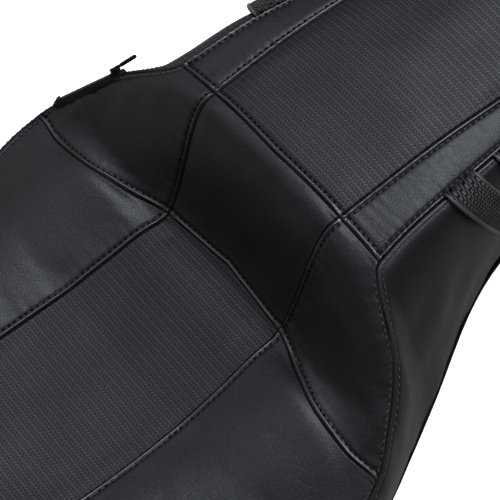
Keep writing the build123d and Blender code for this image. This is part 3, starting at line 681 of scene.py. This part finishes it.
def end_panel(name, node, chosen, seam_x):
    """D-shaped panel between a transverse seam and the rounded end."""
    end = seam_line[chosen]
    out = seam_out[chosen]
    if seam_x > 0:
        end, out = end[::-1], out[::-1]                       # from the side to the middle
    end = np.concatenate([end, (end * MIRROR)[::-1][1:]])[::-1]
    out = np.concatenate([out, (out * MIRROR)[::-1][1:]])[::-1]     # from the right to the left
    lengths = arc(end)
    t = spread(lengths[-1], STEP)
    pick = np.stack([np.interp(t * lengths[-1], lengths, end[:, k]) for k in range(3)], 1)
    sink = np.stack([np.interp(t * lengths[-1], lengths, out[:, k]) for k in range(3)], 1)
    limit = track(seam_x, SIDE_SEAM_Y)
    straight = np.stack([np.full(len(t), float(seam_x)), -limit + 2 * limit * t], 1)
    first, last = (pick, straight) if seam_x < 0 else (straight, pick)
    s = spread(abs(end[len(end) // 2, 0] - seam_x) + 14, STEP)[:, None, None]
    plan = first[None, :, :2] * (1 - s) + last[None, :, :2] * s
    z = top_z(plan[..., 0], plan[..., 1])
    closeness = (1 - s[..., 0] if seam_x < 0 else s[..., 0]) ** 2
    z += (pick[:, 2] - top_z(pick[:, 0], pick[:, 1]))[None] * closeness
    base = np.concatenate([plan, z[..., None]], -1)
    sink = sink_direction(sink / np.linalg.norm(sink, axis=1, keepdims=True))[None]
    styles = ("twin", "stitched") if seam_x < 0 else ("stitched", "twin")
    sinks = (sink, None) if seam_x < 0 else (None, sink)
    plan_panel(name, base, styles + (None, None), "smooth_vinyl", node, 0.25, 0.3, 0.85, sinks + (None, None))


end_panel("tail_cover", "tail_panel", seam_line[:, 0] < TAIL_SEAM_X - 1, TAIL_SEAM_X)
end_panel("nose_cover", "nose_panel", seam_line[:, 0] > NOSE_SEAM_X + 1, NOSE_SEAM_X)


# ---------------- skirts
SKIRT_HEIGHT, SKIRT_STEP = 110, 3.0


def skirt_base(sign):
    """Base grid of a skirt, from the rim up to the side seam and from one end's middle to the other's."""
    v = 1 - spread(SKIRT_HEIGHT, SKIRT_STEP)[None, :, None]
    outward = np.stack([np.sign(outline_x) * ease(1 - outline_share), ease(outline_share),
                        np.zeros(len(outline_x))], 1)
    outward /= np.linalg.norm(outward, axis=1, keepdims=True)
    bulge = track(outline_x, SKIRT_BULGE)[:, None, None] * BULGE_SCALE * np.sqrt(v) * (1 - v)
    grid = seam_line[:, None] * (1 - v) + rim_line[:, None] * v + outward[:, None] * bulge
    return grid if sign > 0 else (grid * MIRROR)[::-1]


for side, sign in (("left", 1), ("right", -1)):
    out = seam_out if sign > 0 else (seam_out * MIRROR)[::-1]
    plan_panel(f"skirt_cover_{side}", skirt_base(sign), ("plain", "plain", "hem", "twin"), "smooth_vinyl",
               f"skirt_{side}", 0.12, 0.5, 0.75, (None, None, None, sink_direction(out)[:, None]))


# ---------------- the foam's push on the panels, by simulation
CLOTH_STEP, CLOTH_FRAMES, CLOTH_CAP = 7.0, 20, 0.4      # mm between points, frames, mm that it may move


def cloth_rows(lengths):
    """Rows or columns about CLOTH_STEP apart, the first and the last among them."""
    wanted = np.linspace(0, lengths[-1], max(int(lengths[-1] / CLOTH_STEP), 4) + 1)
    return np.unique(np.searchsorted(lengths, wanted - 1e-6).clip(0, len(lengths) - 1))


def simulate():
    """Puff of every panel along its normals, from one cloth simulation with the seams held."""
    cloths = []
    for plan in plans:
        base = plan["base"]
        middle_row, middle_column = base[base.shape[0] // 2], base[:, base.shape[1] // 2]
        rows, columns = cloth_rows(arc(middle_column)), cloth_rows(arc(middle_row))
        coarse = base[np.ix_(rows, columns)]
        mesh = bpy.data.meshes.new("cloth")
        mesh.from_pydata((coarse.reshape(-1, 3) * MM).tolist(), [], grid_faces(*coarse.shape[:2]))
        cloth = bpy.data.objects.new("cloth", mesh)
        bpy.context.scene.collection.objects.link(cloth)
        held = cloth.vertex_groups.new(name="held")
        index = np.arange(len(rows) * len(columns)).reshape(len(rows), len(columns))
        border = np.unique(np.concatenate([index[0], index[-1], index[:, 0], index[:, -1]]))
        held.add(border.tolist(), 1.0, "REPLACE")
        modifier = cloth.modifiers.new("cloth", "CLOTH")
        settings = modifier.settings
        settings.quality, settings.mass = 5, 0.25
        settings.tension_stiffness = settings.compression_stiffness = 18
        settings.shear_stiffness, settings.bending_stiffness = 8, 1.2
        settings.vertex_group_mass = "held"
        settings.use_pressure, settings.uniform_pressure_force = True, 4.0
        settings.shrink_min = -0.02
        settings.effector_weights.gravity = 0
        modifier.point_cache.frame_end = CLOTH_FRAMES
        cloths.append((cloth, coarse, rows, columns))
    for number in range(1, CLOTH_FRAMES + 1):
        bpy.context.scene.frame_set(number)
    graph = bpy.context.evaluated_depsgraph_get()
    for plan, (cloth, coarse, rows, columns) in zip(plans, cloths):
        settled = cloth.evaluated_get(graph).data
        points = np.empty(len(settled.vertices) * 3)
        settled.vertices.foreach_get("co", points)
        moved = points.reshape(coarse.shape) / MM - coarse
        rise = CLOTH_CAP * np.tanh((moved * normals(coarse)).sum(-1) / CLOTH_CAP)
        height, width = plan["base"].shape[:2]
        half = np.stack([np.interp(np.arange(width), columns, row) for row in rise])
        plan["puff"] = np.stack([np.interp(np.arange(height), rows, column) for column in half.T], 1)
    for cloth, *_ in cloths:
        bpy.data.objects.remove(cloth)
    bpy.context.scene.frame_set(1)


simulate()


def soften(values, times):
    """Values averaged with their neighbours."""
    for _ in range(times):
        wide = np.pad(values, 1, mode="edge")
        values = (wide[:-2, 1:-1] + wide[2:, 1:-1] + wide[1:-1, :-2] + wide[1:-1, 2:]
                  + wide[1:-1, 1:-1] * 2) / 6
    return values


# ---------------- panels and their stitches
THREAD_R, THREAD_HALF, THREAD_SIDES = 0.46, 1.65, 6
# Rings of one stitch: place along it as a share of its half-length, rise in mm, and size.
STITCH_RINGS = np.array([[-1.0, -0.42, 0.1], [-0.86, -0.18, 0.75], [-0.45, 0.16, 1.0], [0.0, 0.26, 1.0],
                         [0.45, 0.16, 1.0], [0.86, -0.18, 0.75], [1.0, -0.42, 0.1]])


def stitch_mesh(rows):
    """Points and faces of stitches: each row is (centre, direction, outward)."""
    points, faces = [], []
    angle = np.arange(THREAD_SIDES) * 2 * np.pi / THREAD_SIDES
    for centre, run, out in rows:
        side = np.cross(out, run)
        start = len(points)
        for along, rise, size in STITCH_RINGS:
            middle = centre + run * (along * THREAD_HALF) + out * rise
            for a in angle:
                points.append(middle + (side * math.cos(a) + out * math.sin(a)) * THREAD_R * size)
        faces += grid_faces(len(STITCH_RINGS), THREAD_SIDES, start, True, wrap=True)
        faces.append(list(range(start, start + THREAD_SIDES)))
        faces.append(list(range(len(points) - THREAD_SIDES, len(points)))[::-1])
    return points, faces


def stitches(plan, outer, groups):
    """Adds the stitches beside a panel's seams to the groups of stitch rows."""
    flat = outer.reshape(-1, 3)
    surface = BVHTree.FromPolygons(flat.tolist(), grid_faces(*outer.shape[:2]))
    base = plan["base"]
    inner_lines = [base[SEAM_ROW], base[-1 - SEAM_ROW], base[:, SEAM_ROW], base[:, -1 - SEAM_ROW]]
    for edge, inner, style in zip(edge_lines(base), inner_lines, plan["styles"]):
        if style not in STITCH_AT:
            continue
        lengths = arc(edge)
        count = int(lengths[-1] / STITCH_PITCH)
        for k in range(1, count):
            s = k * STITCH_PITCH
            at, ahead, inward = ([np.interp(s + more, lengths, line[:, axis]) for axis in range(3)]
                                 for more, line in ((0, edge), (0.5, edge), (0, inner)))
            run = np.subtract(ahead, at)
            run /= np.linalg.norm(run)
            inward = np.subtract(inward, at)
            inward -= run * inward.dot(run)
            inward /= np.linalg.norm(inward)
            target = np.array(at) + inward * STITCH_AT[style]
            spot, out, _, _ = surface.find_nearest(Vector(target))
            out = np.array(out)
            run -= out * run.dot(out)
            # Twin seams take the thread whose light colour is painted sheen on dark grey thread.
            groups.setdefault("light" if style == "twin" else "dark", []).append(
                (np.array(spot), run / np.linalg.norm(run), out))


groups = {}
for plan in plans:
    # Per point: painted shade in the seam creases and stitch holes, extra gloss on the tight beads.
    outer, n, shade_and_gloss = dress(plan, soften(plan["puff"], 8))
    inner = plan["base"] - n * (GROOVE + LINING)
    points, faces = shell(outer, inner, False)
    piece = make_piece(plan["name"], points, faces, plan["material"], plan["material"],
                       attributes={"shade_and_gloss": np.concatenate([shade_and_gloss.ravel(), shade_and_gloss.ravel()])})
    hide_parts(plan["replaces"])
    stitches(plan, outer, groups)
for label, rows in groups.items():
    make_piece(f"{label}_stitches", *stitch_mesh(rows), f"{label}_thread", "smooth_vinyl")


# ---------------- foam cores under the cover
FOAM_STEP, FOAM_UNDER_TOP, FOAM_UNDER_SIDE, FOAM_SHOULDER = 6, 6.5, 7, 8
FOAM_ABOVE_PAN, FOAM_FROM_END = 0.6, 12
FOAM_SPLIT = (4.8, 5.2)       # where the pillion's foam ends and the rider's begins
FOAM_TOP_COUNT, FOAM_SIDE_COUNT = 33, 11


def foam_core(name, node, first, last):
    """Foam between two places along the seat, as rings under the cover."""
    xs = np.linspace(first, last, max(int(abs(last - first) / FOAM_STEP), 2))
    rings = []
    for x in xs:
        shoulder = track(x, SIDE_SEAM_Y) - FOAM_SHOULDER
        y = np.linspace(shoulder, -shoulder, FOAM_TOP_COUNT)
        cover = top_z(x, y)
        steepness = np.sqrt(1 + np.gradient(cover, y) ** 2)
        crown = np.stack([np.full(FOAM_TOP_COUNT, x), y, cover - FOAM_UNDER_TOP * steepness], 1)
        low = track(x, RIM_Z) + FLANGE + FOAM_ABOVE_PAN
        z = np.linspace(crown[-1, 2], low, FOAM_SIDE_COUNT + 1)[1:]
        side = np.stack([np.full(FOAM_SIDE_COUNT, x), -(skirt_y(x, z) - FOAM_UNDER_SIDE), z], 1)
        rings.append(np.concatenate([(side * MIRROR)[::-1], crown, side]))
    rings = np.array(rings)
    rows, columns = rings.shape[:2]
    faces = grid_faces(rows, columns, 0, first > last, wrap=True)
    faces += [list(range(columns)), list(range((rows - 1) * columns, rows * columns))[::-1]]
    piece = make_piece(name, rings.reshape(-1, 3), faces, "foam", "foam")
    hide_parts(node)


foam_core("rider_foam_core", "rider_foam", FOAM_SPLIT[1], NOSE_X - FOAM_FROM_END)
foam_core("pillion_foam_core", "pillion_foam", TAIL_X + FOAM_FROM_END, FOAM_SPLIT[0])


# ---------------- side straps
STRAP_SLANT = math.radians(33)
STRAP_DOWN = np.array([-math.sin(STRAP_SLANT), 0, -math.cos(STRAP_SLANT)])
STRAP_ACROSS = np.array([math.cos(STRAP_SLANT), 0, -math.sin(STRAP_SLANT)])
STRAP_HALF, STRAP_LENGTH, STRAP_THICK = 12.5, 138, 2.3
# Gap between the skirt and the strap, by the length down the strap.
STRAP_GAP = [(0, -2.6), (2, 0.0), (5, 2.6), (9, 4.4), (24, 9.0), (60, 9.0), (98, 7.0), (116, 1.6), (124, 0.7),
             (STRAP_LENGTH, 0.7)]
STRAP_COLUMNS = np.concatenate([[-12.5, -11.3], np.linspace(-9.5, 9.5, 19), [11.3, 12.5]])
STRAP_ROWS = np.concatenate([np.linspace(0, 30, 26), np.linspace(32, STRAP_LENGTH, 60)])
STRAP_SQUARE = 45             # length in which the slanted start evens out
STRAP_FLAT_FROM, STRAP_FLAT_OVER = 12, 50               # where it leaves the skirt's curve for a flat face
STRAP_X = (("front", -106), ("rear", -154))
PIPING_R, PIPING_RISE = 1.55, 1.6


def strap_face(x, sign, w):
    """Inner face of a strap: rows down from the side seam, which cuts its end at a slant, columns across."""
    s = STRAP_ROWS[:, None]
    down = s - w * math.tan(STRAP_SLANT) * (1 - ease(s / STRAP_SQUARE))
    at_x = x + STRAP_DOWN[0] * down + STRAP_ACROSS[0] * w
    at_z = track(x, SIDE_SEAM_Z) + STRAP_DOWN[2] * down + STRAP_ACROSS[2] * w
    near = skirt_y(at_x, np.minimum(at_z, track(at_x, SIDE_SEAM_Z)))
    flat = skirt_y(x + STRAP_DOWN[0] * s, track(x, SIDE_SEAM_Z) + STRAP_DOWN[2] * s)
    blend = ease((s - STRAP_FLAT_FROM) / STRAP_FLAT_OVER)
    y = near * (1 - blend) + flat * blend + track(s, STRAP_GAP)
    return s[:, 0], down, np.stack([at_x, y * sign, at_z], -1)


def tube(line, radius, sides=10):
    """Points and faces of a closed tube along a line."""
    run = np.gradient(line, axis=0)
    run /= np.linalg.norm(run, axis=1, keepdims=True)
    side = np.cross(run, STRAP_ACROSS)
    side /= np.linalg.norm(side, axis=1, keepdims=True)
    other = np.cross(run, side)
    angle = np.arange(sides) * 2 * np.pi / sides
    size = np.full(len(line), radius)
    size[0] = size[-1] = radius * 0.5
    rings = line[:, None] + (side[:, None] * np.cos(angle)[None, :, None]
                             + other[:, None] * np.sin(angle)[None, :, None]) * size[:, None, None]
    faces = grid_faces(len(line), sides, 0, False, wrap=True)
    faces += [list(range(sides))[::-1], list(range((len(line) - 1) * sides, len(line) * sides))]
    return rings.reshape(-1, 3), faces


for front_or_rear, x in STRAP_X:
    for side, sign in (("left", 1), ("right", -1)):
        s, down, face = strap_face(x, sign, STRAP_COLUMNS[None])
        out = normals(face)
        out *= np.sign(out[..., 1:2]) * sign
        bow = (0.5 - 0.5 * (STRAP_COLUMNS / STRAP_HALF) ** 2)[None, :, None]
        points, faces = shell(face + out * (STRAP_THICK + bow), face + out * bow, sign < 0)
        across = np.repeat(STRAP_COLUMNS[None], len(s), 0)
        piece = make_piece(f"strap_{front_or_rear}_{side}", points, faces, "strap_vinyl", "strap_vinyl",
                           attributes={"along": np.concatenate([down.ravel(), down.ravel()]),
                                       "across": np.concatenate([across.ravel(), across.ravel()])})
        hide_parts(f"side_strap_{front_or_rear}_{side}")
        for edge, column in (("a", -2), ("b", 1)):
            line = face[:, column] + out[:, column] * PIPING_RISE
            make_piece(f"strap_edge_{front_or_rear}_{side}_{edge}", *tube(line, PIPING_R), "piping",
                       "strap_vinyl")


# ---------------- rubber sleeve on the zip's pull
def points_of(node):
    """A CAD node's points in millimetres."""
    part = frame["nodes"][node]
    return np.array([part.matrix_world @ v.co for v in part.data.vertices]) / MM


SLEEVE_FROM, SLEEVE_TO, SLEEVE_R, SLEEVE_SIDES = 0.34, 1.03, 1.62, 16     # shares of the pull's length, mm
RIB_COUNT, RIB_HEIGHT = 11, 0.16
pull_points, slider_middle = points_of("zip_pull"), points_of("zip_slider").mean(0)
reach = np.linalg.norm(pull_points - slider_middle, axis=1)
pull_tip = pull_points[reach > reach.max() - 1.2].mean(0)
pull_root = pull_points[reach < reach.min() + 2.0].mean(0)
s = np.linspace(SLEEVE_FROM, SLEEVE_TO, 90)
sleeve = pull_root + (pull_tip - pull_root) * s[:, None]
sleeve_points, sleeve_faces = tube(sleeve, 1.0, SLEEVE_SIDES)
radius = SLEEVE_R + RIB_HEIGHT * np.sin(2 * np.pi * s * RIB_COUNT)
radius -= 0.5 * ease((0.42 - s) / 0.08)                                # narrower where it starts
radius *= np.sqrt(np.clip(1 - (np.clip(s - 0.96, 0, 1) / 0.071) ** 2, 0.02, 1))       # round tip
rings = sleeve_points.reshape(len(s), SLEEVE_SIDES, 3) - sleeve[:, None]
rings = rings / np.linalg.norm(rings, axis=-1, keepdims=True) * radius[:, None, None] + sleeve[:, None]
make_piece("pull_sleeve", rings.reshape(-1, 3), sleeve_faces, "pull_rubber", "pull_rubber", body="pull")


# ---------------- floor and light
def seen_directly(tree, unseen, seen):
    """Value that is one number for the view itself and another for reflected and bounced light."""
    rays, choice = tree.nodes.new("ShaderNodeLightPath"), tree.nodes.new("ShaderNodeMapRange")
    tree.links.new(rays.outputs["Is Camera Ray"], choice.inputs["Value"])
    choice.inputs["To Min"].default_value, choice.inputs["To Max"].default_value = unseen, seen
    return choice.outputs["Result"]


FLOOR_HALF = 6
floor_corners = [(x * FLOOR_HALF, y * FLOOR_HALF, 0) for x, y in ((-1, -1), (1, -1), (1, 1), (-1, 1))]
floor_mesh = bpy.data.meshes.new("floor")
floor_mesh.from_pydata(floor_corners, [], [(0, 1, 2, 3)])
floor = bpy.data.objects.new("floor", floor_mesh)
bpy.context.scene.collection.objects.link(floor)
ground = Nodes("floor_paper")
paper = ground.math("MULTIPLY", ground.noise(3, 2), 0.04)
tone = ground.math("ADD", paper, seen_directly(ground.tree, 0.22, 0.84))
ground.link(tone, ground.shader.inputs["Base Color"])
ground.link(seen_directly(ground.tree, 0.10, 1.0), ground.shader.inputs["Emission Strength"])
floor_mesh.materials.append(ground.finish(0.8, 0.2, Emission_Color=(1, 1, 1, 1)))

# Soft studio boxes as (azimuth, elevation, radiance, tightness), in a dim room.
SOFTBOXES = [(185, 63, 6.7, 20), (0, 90, 0.60, 2), (298, 42, 0.58, 5)]
ROOM = 0.05
world = bpy.data.worlds.new("studio")
world.use_nodes = True
bpy.context.scene.world = world
sky = world.node_tree
direction = sky.nodes.new("ShaderNodeTexCoord").outputs["Generated"]


def sky_math(operation, a, b):
    node = sky.nodes.new("ShaderNodeMath")
    node.operation = operation
    for value, socket in ((a, node.inputs[0]), (b, node.inputs[1])):
        if isinstance(value, (int, float)):
            socket.default_value = value
        else:
            sky.links.new(value, socket)
    return node.outputs[0]


light = ROOM
for azimuth, elevation, radiance, tightness in SOFTBOXES:
    a, e = math.radians(azimuth), math.radians(elevation)
    toward = sky.nodes.new("ShaderNodeVectorMath")
    toward.operation = "DOT_PRODUCT"
    sky.links.new(direction, toward.inputs[0])
    toward.inputs[1].default_value = (math.cos(a) * math.cos(e), math.sin(a) * math.cos(e), math.sin(e))
    facing = sky_math("MAXIMUM", toward.outputs["Value"], 0.0)
    light = sky_math("ADD", light, sky_math("MULTIPLY", sky_math("POWER", facing, tightness), radiance))
background = sky.nodes["Background"]
background.inputs["Color"].default_value = (1, 1, 1, 1)
hidden = seen_directly(sky, 1.0, 0.0)
sky.links.new(sky_math("ADD", sky_math("MULTIPLY", light, hidden), seen_directly(sky, 0.0, 1.0)),
              background.inputs["Strength"])
bpy.context.scene.view_settings.view_transform = "Standard"
